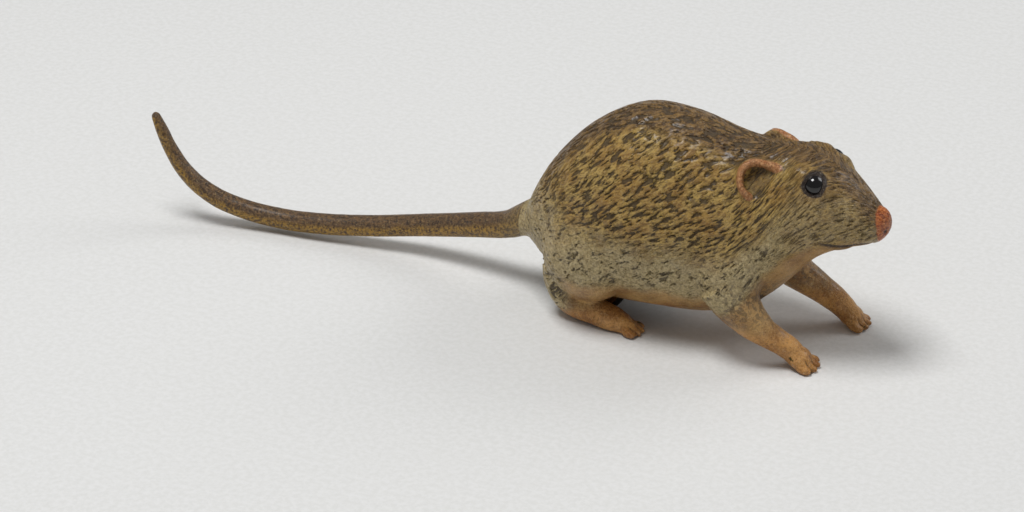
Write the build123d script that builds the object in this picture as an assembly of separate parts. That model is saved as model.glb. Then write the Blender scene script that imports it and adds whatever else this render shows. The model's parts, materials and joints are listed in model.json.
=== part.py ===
"""Clockwork mouse: a cast and painted mouse, hollow, with a spring-driven movement in its belly.

Two shell halves meet on the mouse's own plane of symmetry. Legs, tail and ears are separate castings with
spigots, the eyes are glass beads, and a belly plate carries the movement. The movement is a mainspring on
a winding arbor, a click and ratchet, a two-stage gear train and one axle with two tyred wheels.

Millimetres. +X runs from rump to nose, +Y to the mouse's left and +Z up, with the floor at z = 0. Pieces
are drawn with x = 0 at the rump and y = 0 on the plane of symmetry. On export everything moves together
so that the frame's origin is the middle of the whole object's underside.
"""

from build123d import *
import math
import os

# ---- Body -----------------------------------------------------------------------------------------
BODY_LENGTH = 76.0  # rump to nose tip
BODY_HEIGHT = 45.4  # floor to the top of the back
BODY_WIDTH = 31.0  # across the haunches
SHELL_WALL = 1.2  # cast wall
# Each row: place along the body, top, bottom and half-width, as shares of length, height and half-width.
BODY_ROWS = [
    (0.000, 0.42, 0.255, 0.23),
    (0.026, 0.535, 0.235, 0.37),
    (0.092, 0.705, 0.168, 0.65),
    (0.197, 0.88, 0.099, 0.88),
    (0.329, 0.994, 0.079, 1.0),
    (0.461, 1.0, 0.086, 0.935),
    (0.579, 0.956, 0.121, 0.845),
    (0.671, 0.932, 0.198, 0.775),
    (0.75, 0.956, 0.33, 0.72),
    (0.816, 0.938, 0.463, 0.63),
    (0.882, 0.868, 0.533, 0.49),
    (0.934, 0.79, 0.564, 0.35),
    (0.974, 0.725, 0.59, 0.22),
    (0.991, 0.687, 0.621, 0.10),
]
NOSE_HEIGHT = 0.656  # share of the height where the nose closes to a point
CAVITY_ROWS = slice(1, 11)  # the rows that the hollow inside follows

# ---- Tail, legs, ears and eyes ----------------------------------------------------------------------
SPIGOT_RADIUS = 1.1
SPIGOT_DEPTH = 3.2
SEAT_CLEARANCE = 0.03  # radial, between a soldered spigot and its hole
TAIL_SPIGOT_RADIUS = 1.6
TAIL_LENGTH = 83.5
TAIL_RISE = 23.5  # height of the tip
TAIL_SWAY = 5.0  # how far the tip stands to the mouse's right
# Each row: share of the length back, share of the sway, height and radius.
TAIL_ROWS = [
    (-0.036, 0.0, 15.2, 4.2),
    (0.0, 0.0, 14.6, 3.5),
    (0.036, -0.1, 12.4, 2.85),
    (0.132, -0.32, 9.8, 2.6),
    (0.281, -0.44, 6.5, 2.35),
    (0.413, -0.22, 4.4, 2.25),
    (0.549, 0.1, 3.2, 2.2),
    (0.653, 0.28, 3.0, 2.15),
    (0.757, 0.56, 4.5, 2.05),
    (0.818, 0.74, 6.6, 1.95),
    (0.877, 0.86, 10.4, 1.75),
    (0.917, 0.94, 15.6, 1.5),
    (0.941, 0.98, 20.3, 1.3),
]
TAIL_TIP_PLACE = 0.955  # share of the length back
TAIL_TIP_RADIUS = 1.0
# Limb rows: place along and across the body and height, as shares, then side and up radii in millimetres.
HIND_ROWS = [
    (0.125, 0.42, 0.235, 4.2, 4.6),
    (0.155, 0.45, 0.125, 4.0, 3.7),
    (0.235, 0.535, 0.078, 3.2, 2.9),
    (0.31, 0.605, 0.05, 3.0, 2.4),
    (0.36, 0.64, 0.038, 2.8, 1.9),
    (0.385, 0.65, 0.028, 2.0, 1.3),
]
FORE_RIGHT_ROWS = [
    (0.605, 0.60, 0.37, 5.4, 5.4),
    (0.66, 0.635, 0.25, 4.4, 4.2),
    (0.71, 0.63, 0.165, 3.1, 3.1),
    (0.76, 0.61, 0.108, 2.6, 2.5),
    (0.80, 0.60, 0.062, 2.9, 2.4),
    (0.84, 0.60, 0.042, 3.2, 2.1),
    (0.865, 0.60, 0.031, 2.4, 1.5),
]
FORE_LEFT_ROWS = [
    (0.645, 0.50, 0.37, 5.2, 5.0),
    (0.71, 0.56, 0.26, 3.8, 3.6),
    (0.775, 0.605, 0.178, 2.9, 2.9),
    (0.84, 0.62, 0.1, 2.7, 2.7),
    (0.89, 0.62, 0.05, 2.9, 2.4),
    (0.915, 0.62, 0.04, 2.6, 2.0),
]
THIGH_PLACE = (0.235, 0.60, 0.39)
THIGH_RADII = (11.0, 6.6, 12.5)
SHOULDER_PLACE = (0.615, 0.60, 0.42)
SHOULDER_RADII = (7.5, 4.6, 9.5)
HIND_FOOT_LIFT = 0.3  # the hind feet clear the floor, so that only the wheels carry the rear
EYE_PLACE = 0.818  # share of the body length
EYE_ANGLE = 48.0  # degrees above the widest line of the head
EYE_RADIUS = 2.1
EYE_SINK = 1.3  # how far the bead's centre lies under the skin
EAR_PLACE = 0.672
EAR_ANGLE = 54.0
EAR_TURN = 22.0  # how far the cup faces forward, in degrees
EAR_RADII = (4.2, 4.6, 3.6)
EAR_WALL = 0.8
EAR_FLOOR = 0.6  # metal left under the cup
EAR_PIN_RADIUS = 0.5
EAR_PIN_DEPTH = 2.2

# ---- Belly plate ------------------------------------------------------------------------------------
BELLY_TOP = 9.6  # height of the plate's flat inner face
BELLY_REAR = 6.6
BELLY_FRONT = 45.2
BELLY_HALF_WIDTH = 8.2
JOINT_GAP = 0.05  # between the plate and its opening
WINDOW_GAP = 0.6  # around the tyres in the plate's window
LAND_HEIGHT = 3.0  # depth of the two bars that take the plate's screws
LAND_LENGTH = 4.2
SCREW_RADIUS = 0.6
SCREW_HEAD_RADIUS = 1.1
SCREW_HEAD_HEIGHT = 0.7
BELLY_SCREW_SPREAD = 4.0  # each screw's distance from the plane of symmetry
BELLY_SCREW_REAR = 1.4  # from the plate's rear edge
BELLY_SCREW_FRONT = 1.6  # from the plate's front edge
LAND_REAR = 2.0  # how far the rear bar stands behind the plate
LAND_FRONT = 1.0  # how far the front bar stands ahead of the plate
SCREW_SINK = 0.2  # how far a screw's head lies inside the skin
SCREW_CAP = 0.6  # metal left beyond a screw's end, or under its head
SLOT_WIDTH = 0.3

# ---- Movement ---------------------------------------------------------------------------------------
MODULE = 0.4
WHEEL_TEETH = 40
PINION_TEETH = 10
PRESSURE_ANGLE = 25.0
ADDENDUM = 0.8  # in modules
DEDENDUM = 1.1
BACKLASH = 0.09
TRAIN_ANGLE = 45.0  # the train climbs forward at this angle
AXLE_X = 17.5
TYRE_RADIUS = 6.5
TYRE_DEPTH = 1.1
WHEEL_WIDTH = 2.4
WHEEL_INSIDE = 2.2  # distance of the wheel's inner face from the plane of symmetry
AXLE_RADIUS = 1.0
AXLE_PIVOT_RADIUS = 0.8
ARBOR_RADIUS = 1.1
SECOND_ARBOR_RADIUS = 0.8
SECOND_PIVOT_RADIUS = 0.5
RUNNING_CLEARANCE = 0.05
PLATE_THICKNESS = 0.8
PLATE_INSIDE = 5.2  # distance of each plate's inner face from the plane of symmetry
PLATE_RIM = 1.75  # metal around each pillar
AXLE_RIM = 1.6
END_SHAKE = 0.1
PILLAR_RADIUS = 1.0
PILLAR_TENON_RADIUS = 0.6
RIVET_HEIGHT = 0.4
PILLAR_REACH = 10.25  # from the nearest arbor
STRAP_WIDTH = 2.8
STRAP_X = 38.3
STRAP_SCREW_SPREAD = 2.8
STRAP_TENON_PROUD = 0.2  # how far the strap's ends stand out of the side plates
RIM_WIDTH = 0.9  # drive wheel's rim
HUB_SHARE = 2.2  # drive wheel's hub radius over its axle's radius
TREAD_FLAT = 0.05  # flat left in the middle of the rounded tread

GREAT_WHEEL_LAYER = (-2.0, -1.2)
SECOND_WHEEL_LAYER = (-0.5, 0.5)
SECOND_PINION_LAYER = (-2.3, -0.9)
DRIVE_PINION_LAYER = (-1.0, 1.0)
RATCHET_LAYER = (-3.1, -2.3)
SPRING_LAYER = (1.1, 4.7)

SPRING_TURNS = 5
SPRING_STRIP = 0.25
SPRING_INNER = 1.6
SPRING_OUTER = 8.85
RATCHET_TEETH = 24
RATCHET_TIP = 3.6
RATCHET_ROOT = 3.0
CLICK_REACH = 4.5
CLICK_HUB = 0.9
CLICK_PIN_RADIUS = 0.45
CLICK_GAP = 0.06
CLICK_TOOTH = 210.0  # where round the arbor the click stands, in degrees
CLICK_LIFT = 0.1  # the click's tip over the root of the teeth
CLICK_NOSE = 0.2  # how far the click's nose stands over the tips
CLICK_HEAD = 0.3  # the rivet's small head
SPRING_STUD = (-2.4, 5.6)  # from the arbor, with the engaged tooth straight up
SPRING_STUD_RADIUS = 0.6
SPRING_TOUCH = (1.3, RATCHET_TIP + 0.52)
SPRING_LEAF = 0.2

BUSH_RADIUS = 2.2
BUSH_FLANGE_RADIUS = 3.1
BUSH_PROUD = 0.6
KEY_SQUARE = 1.3
KEY_SQUARE_CLEARANCE = 0.04
KEY_BARREL_RADIUS = 1.5
KEY_BARREL_LENGTH = 6.0
KEY_STANDOFF = 0.5
KEY_LOBE_RADIUS = 3.5
KEY_LOBE_HOLE = 1.6
KEY_LOBE_SPREAD = 3.3
KEY_LOBE_PROUD = 2.2  # the lobes' centres beyond the barrel's end
KEY_HOLE_SHARE = 0.55  # depth of the square hole over the barrel's length
KEY_THICKNESS = 1.2

# ---- Places that follow from the sizes --------------------------------------------------------------
PITCH_WHEEL = MODULE * WHEEL_TEETH / 2
PITCH_PINION = MODULE * PINION_TEETH / 2
CENTRES = PITCH_WHEEL + PITCH_PINION
PLATE_OUTSIDE = PLATE_INSIDE + PLATE_THICKNESS
PIVOT_END = PLATE_OUTSIDE + RIVET_HEIGHT  # where pivots and rivets end, on both sides
HALF_WIDTH = BODY_WIDTH / 2
HIND_INSIDE = PIVOT_END + WINDOW_GAP / 2  # the hind legs clear the movement
STRAP_FOOT = BELLY_TOP + JOINT_GAP  # height of the strap's underside
MESH_TURN = TRAIN_ANGLE + 180 / PINION_TEETH  # turns a pinion so that a gap meets the wheel's tooth


def polar(centre, distance, degrees):
    """The point at a distance and angle from a centre, in the x-z plane."""
    turn = math.radians(degrees)
    return centre[0] + distance * math.cos(turn), centre[1] + distance * math.sin(turn)


AXLE = (AXLE_X, TYRE_RADIUS)
SECOND = polar(AXLE, CENTRES, TRAIN_ANGLE)
ARBOR = polar(SECOND, CENTRES, TRAIN_ANGLE)
PILLARS = [
    polar(SECOND, PILLAR_REACH, TRAIN_ANGLE + 90),
    polar(SECOND, PILLAR_REACH, TRAIN_ANGLE - 57),
    polar(ARBOR, PILLAR_REACH, TRAIN_ANGLE + 60),
    polar(ARBOR, PILLAR_REACH, TRAIN_ANGLE - 57),
]
HOOK_PILLAR = PILLARS[2]
CLICK_PIVOT_ANGLE = CLICK_TOOTH - math.degrees(math.atan2(CLICK_REACH, (RATCHET_TIP + RATCHET_ROOT) / 2))
CLICK_PIVOT = polar(ARBOR, math.hypot(CLICK_REACH, (RATCHET_TIP + RATCHET_ROOT) / 2), CLICK_PIVOT_ANGLE)


# ---- Helpers ----------------------------------------------------------------------------------------
def side_plane(y):
    """A plane facing the mouse's right whose own x and y are the frame's x and z."""
    return Plane(origin=(0, y, 0), x_dir=(1, 0, 0), z_dir=(0, -1, 0))


def slab(sketch, low, high):
    """A sketch in x and z made solid from y = low to y = high."""
    return extrude(side_plane(high) * sketch, amount=high - low)


def disc(centre, radius, low, high):
    return slab(Pos(*centre) * Circle(radius), low, high)


def block(x, y, z):
    """A box from three (low, high) pairs."""
    sizes = [high - low for low, high in (x, y, z)]
    middles = [(high + low) / 2 for low, high in (x, y, z)]
    return Pos(*middles) * Box(*sizes)


def upright(x, y, radius, low, high):
    """A vertical cylinder."""
    return Pos(x, y, (low + high) / 2) * Cylinder(radius, high - low)


def place(along, across, up):
    """A point from shares of the body's length, half-width and height."""
    return Vector(along * BODY_LENGTH, across * HALF_WIDTH, up * BODY_HEIGHT)


# ---- Body skin --------------------------------------------------------------------------------------
def row_sizes(row):
    """x, top, bottom and half-width of a body row, in millimetres."""
    along, top, bottom, half = row
    return along * BODY_LENGTH, top * BODY_HEIGHT, bottom * BODY_HEIGHT, half * HALF_WIDTH


def skin_sizes(along):
    """Top, bottom and half-width of the skin at any share of the length, between the rows."""
    index = max(k for k, row in enumerate(BODY_ROWS[:-1]) if row[0] <= along)
    before, after = BODY_ROWS[index], BODY_ROWS[index + 1]
    share = (along - before[0]) / (after[0] - before[0])
    low, high = row_sizes(before), row_sizes(after)
    return [low[k] + share * (high[k] - low[k]) for k in (1, 2, 3)]


def skin_point(along, degrees, side):
    """The skin's point and outward direction at an angle above the widest line, on side +1 or -1."""
    top, bottom, half = skin_sizes(along)
    turn = math.radians(degrees)
    rise = (top - bottom) / 2
    point = Vector(
        along * BODY_LENGTH,
        side * half * math.cos(turn),
        (top + bottom) / 2 + rise * math.sin(turn),
    )
    outward = Vector(0, side * rise * math.cos(turn), half * math.sin(turn)).normalized()
    return point, outward


def half_section(x, top, bottom, half):
    """The left half of an elliptical section, closed on the plane of symmetry."""
    middle, rise = (top + bottom) / 2, (top - bottom) / 2
    curve = EllipticalCenterArc((0, middle), half, rise, -90, arc_size=180)
    face = make_face(curve + Line((0, top), (0, bottom)))
    return Plane(origin=(x, 0, 0), x_dir=(0, 1, 0), z_dir=(1, 0, 0)) * face


def half_body():
    """The left half of the body's outer form, solid."""
    sections = [half_section(*row_sizes(row)) for row in BODY_ROWS]
    nose = Vertex(BODY_LENGTH, 0, NOSE_HEIGHT * BODY_HEIGHT)
    return loft([section.face() for section in sections] + [nose])


def half_cavity():
    """The left half of the hollow inside the shell."""
    sections = []
    for row in BODY_ROWS[CAVITY_ROWS]:
        x, top, bottom, half = row_sizes(row)
        sections.append(half_section(x, top - SHELL_WALL, bottom + SHELL_WALL, half - SHELL_WALL).face())
    return loft(sections)


LEFT_FORM = half_body()
RIGHT_FORM = mirror(LEFT_FORM, about=Plane.XZ)
FORMS = {1: LEFT_FORM, -1: RIGHT_FORM}


# ---- Limbs ------------------------------------------------------------------------------------------
def limb(rows):
    """A tapering limb through rows of (point, side radius, up radius)."""
    points = [row[0] for row in rows]
    faces = []
    for index, (point, side_radius, up_radius) in enumerate(rows):
        before, after = points[max(index - 1, 0)], points[min(index + 1, len(rows) - 1)]
        along = (after - before).normalized()
        across = Vector(0, 0, 1).cross(along).normalized()
        outline = Spline(
            (side_radius, 0), (0, up_radius), (-side_radius, 0), (0, -up_radius), periodic=True
        )
        faces.append((Plane(origin=point, x_dir=across, z_dir=along) * make_face(outline)).face())
    return loft(faces)


def leg_rows(rows, side):
    return [(place(along, side * across, up), a, b) for along, across, up, a, b in rows]


def bulge(where, radii, side):
    """An ellipsoid of flesh on one side of the body."""
    along, across, up = where
    return Pos(*place(along, side * across, up)) * scale(Sphere(1), by=radii)


def leg(rows, muscle, radii, side, sole, inside):
    """A leg casting: limb and muscle outside the body, flat at its sole and inner face, and a spigot."""
    form = limb(leg_rows(rows, side)) + bulge(muscle, radii, side)
    inner, outer = sorted((side * inside, side * BODY_WIDTH))
    allowed = block((0, BODY_LENGTH), (inner, outer), (sole, BODY_HEIGHT))
    outside = (form & allowed) - FORMS[side]
    outside = max(outside.solids(), key=lambda solid: solid.volume)
    return outside + spigot(muscle, side, SPIGOT_RADIUS, SPIGOT_DEPTH + SHELL_WALL)


def spigot(muscle, side, radius, depth):
    """A pin along y from inside a leg's muscle, through the shell's wall."""
    along, across, up = muscle
    x, z = along * BODY_LENGTH, up * BODY_HEIGHT
    flank = spigot_flank(along, z)
    ends = sorted((side * (flank - depth), side * (flank + radius / 2)))
    return disc((x, z), radius, *ends)


def spigot_flank(along, z):
    """How far out the skin lies at a share of the length and a height."""
    top, bottom, half = skin_sizes(along)
    middle, rise = (top + bottom) / 2, (top - bottom) / 2
    return half * math.sqrt(max(0, 1 - ((z - middle) / rise) ** 2))


def tail():
    """The tail casting, thick at the rump and curled up at the tip, with a spigot into the rump."""
    rows = []
    for back, sway, height, radius in TAIL_ROWS:
        rows.append((Vector(-back * TAIL_LENGTH, -sway * TAIL_SWAY, height), radius, radius))
    tip = Vector(-TAIL_LENGTH * TAIL_TIP_PLACE, -TAIL_SWAY, TAIL_RISE)
    rows.append((tip, TAIL_TIP_RADIUS, TAIL_TIP_RADIUS))
    outside = limb(rows) - LEFT_FORM - RIGHT_FORM
    outside = max(outside.solids(), key=lambda solid: solid.volume)
    return outside + tail_spigot(TAIL_SPIGOT_RADIUS)


def tail_spigot(radius):
    """A pin along x through the rump."""
    height = TAIL_ROWS[1][2]
    pin = Rot(0, 90, 0) * Cylinder(radius, SPIGOT_DEPTH + radius)
    return Pos((SPIGOT_DEPTH - radius) / 2, 0, height) * pin


# ---- Ears and eyes ----------------------------------------------------------------------------------
def ear_frame(side):
    """The ear's seat: its own x points forward along the skin and its own z out of it."""
    point, outward = skin_point(EAR_PLACE, EAR_ANGLE, side)
    return Plane(origin=point, x_dir=(1, 0, 0), z_dir=outward)


def ear_pin(side, radius):
    height = EAR_PIN_DEPTH + EAR_FLOOR / 2
    return ear_frame(side) * (Pos(0, 0, (EAR_FLOOR - EAR_PIN_DEPTH) / 2) * Cylinder(radius, height))


def ear(side):
    """A small cupped ear that faces outwards and forward, with a pin into the head."""
    length, height, depth = EAR_RADII
    outer = scale(Sphere(1), by=EAR_RADII)
    hollow = scale(Sphere(1), by=(length - EAR_WALL, height - EAR_WALL, depth - EAR_WALL))
    cup = Rot(0, EAR_TURN, 0) * (outer - Pos(0, 0, depth - EAR_WALL + EAR_FLOOR) * hollow)
    outside = ear_frame(side) * cup - FORMS[side]
    outside = max(outside.solids(), key=lambda solid: solid.volume)
    return outside + ear_pin(side, EAR_PIN_RADIUS)


def eye_ball(side, radius):
    point, outward = skin_point(EYE_PLACE, EYE_ANGLE, side)
    return Pos(*(point - outward * EYE_SINK)) * Sphere(radius)


# ---- Shells and belly plate -------------------------------------------------------------------------
def belly_box(grow):
    """The space that the belly plate takes, grown by a gap."""
    return block(
        (BELLY_REAR - grow, BELLY_FRONT + grow),
        (-BELLY_HALF_WIDTH - grow, BELLY_HALF_WIDTH + grow),
        (-BELLY_TOP, BELLY_TOP),
    )


def belly_screw_places():
    """x and y of the plate's four screws, in the middle of each land's overlap with the plate."""
    rear, front = BELLY_REAR + BELLY_SCREW_REAR, BELLY_FRONT - BELLY_SCREW_FRONT
    return [(x, y) for x in (rear, front) for y in (-BELLY_SCREW_SPREAD, BELLY_SCREW_SPREAD)]


def strap_screw_places():
    return [(STRAP_X, -STRAP_SCREW_SPREAD), (STRAP_X, STRAP_SCREW_SPREAD)]


def belly_screw_rise():
    return BELLY_TOP + LAND_HEIGHT - SCREW_CAP


def lands():
    """The two bars across the body that take the belly plate's screws."""
    across = (-BODY_WIDTH, BODY_WIDTH)
    height = (0, BELLY_TOP + LAND_HEIGHT)
    start, end = BELLY_REAR - LAND_REAR, BELLY_FRONT + LAND_FRONT
    rear = block((start, start + LAND_LENGTH), across, height)
    front = block((end - LAND_LENGTH, end), across, height)
    return [rear, front]


def shell(side):
    """One cast half of the body, open underneath for the belly plate."""
    half = FORMS[side] - (CAVITIES[side] - lands()) - belly_box(JOINT_GAP)
    half = max(half.solids(), key=lambda solid: solid.volume)
    half -= tail_spigot(TAIL_SPIGOT_RADIUS + SEAT_CLEARANCE)
    for muscle in (THIGH_PLACE, SHOULDER_PLACE):
        half -= spigot(muscle, side, SPIGOT_RADIUS + SEAT_CLEARANCE, SPIGOT_DEPTH + 2 * SHELL_WALL)
    half -= ear_pin(side, EAR_PIN_RADIUS + SEAT_CLEARANCE)
    half -= eye_ball(side, EYE_RADIUS + SEAT_CLEARANCE)
    for x, y in belly_screw_places():
        half -= upright(x, y, SCREW_RADIUS + SEAT_CLEARANCE, 0, belly_screw_rise() + SEAT_CLEARANCE)
    if side > 0:
        half -= disc(ARBOR, BUSH_RADIUS + SEAT_CLEARANCE, PLATE_OUTSIDE, BODY_WIDTH)
    return half


def plate_screw(x, y, rise):
    """A screw from below: its head is let into the belly plate and its shank rises to a height."""
    seat = screw_seat(x, y)
    head = upright(x, y, SCREW_HEAD_RADIUS, seat - SCREW_HEAD_HEIGHT, seat)
    slot = block(
        (x - SCREW_HEAD_RADIUS, x + SCREW_HEAD_RADIUS),
        (y - SLOT_WIDTH / 2, y + SLOT_WIDTH / 2),
        (seat - SCREW_HEAD_HEIGHT, seat - SCREW_HEAD_HEIGHT / 2),
    )
    return head + upright(x, y, SCREW_RADIUS, seat, rise) - slot


def plate_screws(places, rise):
    return Compound([plate_screw(x, y, rise).solid() for x, y in places])


def screw_seat(x, y):
    """Height of the face that a screw's head bears on, a head's depth inside the lowest skin there."""
    top, bottom, half = skin_sizes(x / BODY_LENGTH)
    middle, rise = (top + bottom) / 2, (top - bottom) / 2
    skin = middle - rise * math.sqrt(1 - (abs(y) / half) ** 2)
    return min(skin + SCREW_HEAD_HEIGHT + SCREW_SINK, BELLY_TOP - SCREW_CAP)


def belly_plate():
    """The cast plate under the movement, with a window for the wheels."""
    plate = (LEFT_FORM + RIGHT_FORM) & belly_box(0)
    window = block(
        (AXLE[0] - TYRE_RADIUS - WINDOW_GAP, SECOND[0] + PITCH_WHEEL + 2 * WINDOW_GAP),
        (-PIVOT_END - WINDOW_GAP / 2, PIVOT_END + WINDOW_GAP / 2),
        (0, BELLY_TOP),
    )
    plate -= window
    for x, y in belly_screw_places() + strap_screw_places():
        plate -= upright(x, y, SCREW_RADIUS + SEAT_CLEARANCE, 0, BELLY_TOP)
        plate -= upright(x, y, SCREW_HEAD_RADIUS + SEAT_CLEARANCE, 0, screw_seat(x, y))
    return plate


# ---- Movement ---------------------------------------------------------------------------------------
def involute(angle):
    return math.tan(angle) - angle


def gear_profile(teeth, turn):
    """A toothed disc about the origin, with one tooth centred on the angle turn, in degrees."""
    pitch = MODULE * teeth / 2
    base = pitch * math.cos(math.radians(PRESSURE_ANGLE))
    tip, root = pitch + ADDENDUM * MODULE, pitch - DEDENDUM * MODULE
    half_tooth = (math.pi * MODULE / 2 - BACKLASH) / (2 * pitch)

    def half_angle(radius):
        """Half the tooth's angle at a radius. Under the base circle the flank is radial."""
        rolled = involute(math.acos(min(1, base / max(radius, base))))
        return half_tooth + involute(math.radians(PRESSURE_ANGLE)) - rolled

    def at(radius, angle):
        return radius * math.cos(angle), radius * math.sin(angle)

    start = max(root, base)
    radii = [start + (tip - start) * step / 3 for step in range(4)]
    if root < base:
        radii = [root] + radii
    edges = []
    step = 2 * math.pi / teeth
    for tooth in range(teeth):
        middle = math.radians(turn) + tooth * step
        rise = [at(radius, middle - half_angle(radius)) for radius in radii]
        fall = [at(radius, middle + half_angle(radius)) for radius in reversed(radii)]
        following = at(radii[0], middle + step - half_angle(radii[0]))
        edges += [Polyline(*rise), ThreePointArc(rise[-1], at(tip, middle), fall[0]), Polyline(*fall)]
        edges.append(ThreePointArc(fall[-1], at(radii[0], middle + step / 2), following))
    return make_face(Wire([edge for part in edges for edge in part.edges()]))


def gear(centre, teeth, turn, hole, layer):
    profile = Pos(*centre) * (gear_profile(teeth, turn) - Circle(hole))
    return slab(profile, *layer)


def second_gear(teeth, turn, layer):
    return gear(SECOND, teeth, turn, SECOND_ARBOR_RADIUS, layer)


def great_wheel():
    """The wheel that carries the click, loose on the winding arbor."""
    wheel = gear(ARBOR, WHEEL_TEETH, TRAIN_ANGLE + 180, ARBOR_RADIUS + RUNNING_CLEARANCE, GREAT_WHEEL_LAYER)
    return wheel - disc(CLICK_PIVOT, CLICK_PIN_RADIUS + SEAT_CLEARANCE, *GREAT_WHEEL_LAYER)


def frame_plate(side):
    """A brass side plate: one sheet around the pillars, with a lug down to the axle."""
    low, high = sorted((side * PLATE_INSIDE, side * PLATE_OUTSIDE))
    foot = (STRAP_X + STRAP_WIDTH / 4, STRAP_FOOT + PLATE_RIM)
    upper = Sketch() + [Pos(*point) * Circle(PLATE_RIM) for point in PILLARS + [foot]]
    lower = Sketch() + [Pos(*AXLE) * Circle(AXLE_RIM), Pos(*SECOND) * Circle(2 * PLATE_RIM)]
    outline = make_hull(upper.edges()) + make_hull(lower.edges())
    arbor_radius = ARBOR_RADIUS if side > 0 else SECOND_ARBOR_RADIUS
    holes = [(AXLE, AXLE_PIVOT_RADIUS), (SECOND, SECOND_PIVOT_RADIUS), (ARBOR, arbor_radius)]
    for centre, radius in holes:
        outline -= Pos(*centre) * Circle(radius + RUNNING_CLEARANCE)
    for centre in PILLARS:
        outline -= Pos(*centre) * Circle(PILLAR_TENON_RADIUS + SEAT_CLEARANCE)
    tenon = strap_tenon(SEAT_CLEARANCE)
    return slab(outline, low, high) - tenon


def frame_pillars():
    """Four riveted pillars as separate solids."""
    solids = []
    for centre in PILLARS:
        body = disc(centre, PILLAR_RADIUS, -PLATE_INSIDE, PLATE_INSIDE)
        tenon = disc(centre, PILLAR_TENON_RADIUS, -PLATE_OUTSIDE, PLATE_OUTSIDE)
        heads = [
            disc(centre, 1.5 * PILLAR_TENON_RADIUS, PLATE_OUTSIDE, PIVOT_END),
            disc(centre, 1.5 * PILLAR_TENON_RADIUS, -PIVOT_END, -PLATE_OUTSIDE),
        ]
        solids.append((body + tenon + heads).solid())
    return Compound(solids)


def strap_tenon(grow):
    """The strap's two ends, where they pass through the side plates."""
    width = STRAP_WIDTH / 2 + grow
    return block(
        (STRAP_X - width / 2, STRAP_X + width / 2),
        (-PLATE_OUTSIDE - STRAP_TENON_PROUD, PLATE_OUTSIDE + STRAP_TENON_PROUD),
        (STRAP_FOOT - grow, STRAP_FOOT + PLATE_THICKNESS + grow),
    )


def frame_strap():
    """The foot of the movement: a strip across both plates, screwed to the belly plate."""
    strip = block(
        (STRAP_X - STRAP_WIDTH / 2, STRAP_X + STRAP_WIDTH / 2),
        (-PLATE_INSIDE + SEAT_CLEARANCE, PLATE_INSIDE - SEAT_CLEARANCE),
        (STRAP_FOOT, STRAP_FOOT + PLATE_THICKNESS),
    )
    strap = strip + strap_tenon(0)
    for x, y in strap_screw_places():
        strap -= upright(x, y, SCREW_RADIUS + SEAT_CLEARANCE, 0, 2 * BELLY_TOP)
    return strap


def winding_arbor():
    """The arbor that the key turns: a thin right pivot, and a square end beyond the left flank."""
    inside = PLATE_INSIDE - END_SHAKE
    body = disc(ARBOR, ARBOR_RADIUS, -inside, KEY_START)
    pivot = disc(ARBOR, SECOND_ARBOR_RADIUS, -PIVOT_END, -inside)
    end = KEY_START + KEY_BARREL_LENGTH / 2
    square = slab(Pos(*ARBOR) * Rectangle(KEY_SQUARE, KEY_SQUARE), KEY_START, end)
    return body + pivot + square


def second_arbor():
    inside = PLATE_INSIDE - END_SHAKE
    body = disc(SECOND, SECOND_ARBOR_RADIUS, -inside, inside)
    return body + disc(SECOND, SECOND_PIVOT_RADIUS, -PIVOT_END, PIVOT_END)


def drive_axle():
    inside = PLATE_INSIDE - END_SHAKE
    body = disc(AXLE, AXLE_RADIUS, -inside, inside)
    return body + disc(AXLE, AXLE_PIVOT_RADIUS, -PIVOT_END, PIVOT_END)


def wheel_layer(side):
    return sorted((side * WHEEL_INSIDE, side * (WHEEL_INSIDE + WHEEL_WIDTH)))


def drive_wheel(side):
    """A turned wheel: a rim, a thinner web and a hub pressed on the axle."""
    low, high = wheel_layer(side)
    rim_radius = TYRE_RADIUS - TYRE_DEPTH
    whole = slab(Pos(*AXLE) * (Circle(rim_radius) - Circle(AXLE_RADIUS)), low, high)
    recess = Pos(*AXLE) * (Circle(rim_radius - RIM_WIDTH) - Circle(HUB_SHARE * AXLE_RADIUS))
    depth = WHEEL_WIDTH / 3
    return whole - slab(recess, low, low + depth) - slab(recess, high - depth, high)


def tyre(side):
    """A rubber ring with a rounded tread."""
    low, high = wheel_layer(side)
    ring = slab(Pos(*AXLE) * (Circle(TYRE_RADIUS) - Circle(TYRE_RADIUS - TYRE_DEPTH)), low, high)
    circles = ring.edges().filter_by(GeomType.CIRCLE)
    tread = [edge for edge in circles if edge.radius > TYRE_RADIUS - TYRE_DEPTH / 2]
    return fillet(tread, TYRE_DEPTH / 2 - TREAD_FLAT)


def mainspring():
    """A flat spiral strip of half-turn arcs, hooked round one pillar."""
    halves = 2 * SPRING_TURNS
    pitch = (SPRING_OUTER - SPRING_INNER) / (halves - 1)
    outer, inner = [], []
    centre, side = 0.0, -1 if halves % 2 else 1
    for half in range(halves):
        radius = SPRING_INNER + pitch * half
        for edges, offset in ((outer, SPRING_STRIP / 2), (inner, -SPRING_STRIP / 2)):
            r = radius + offset
            start, end = centre + side * r, centre - side * r
            edges.append(ThreePointArc((start, 0), (centre, side * r), (end, 0)))
        centre += side * pitch
        side = -side
    first = Line(outer[0] @ 0, inner[0] @ 0)
    last = Line(outer[-1] @ 1, inner[-1] @ 1)
    strip = make_face(Wire(outer + inner + [first, last]))
    hook_angle = math.degrees(math.atan2(HOOK_PILLAR[1] - ARBOR[1], HOOK_PILLAR[0] - ARBOR[0]))
    strip = Pos(*ARBOR) * Rot(0, 0, hook_angle) * strip
    eye_radius = PILLAR_RADIUS + 2 * RUNNING_CLEARANCE
    strip += Pos(*HOOK_PILLAR) * Circle(eye_radius + SPRING_STRIP)
    return slab(strip - Pos(*HOOK_PILLAR) * Circle(eye_radius), *SPRING_LAYER)


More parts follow.
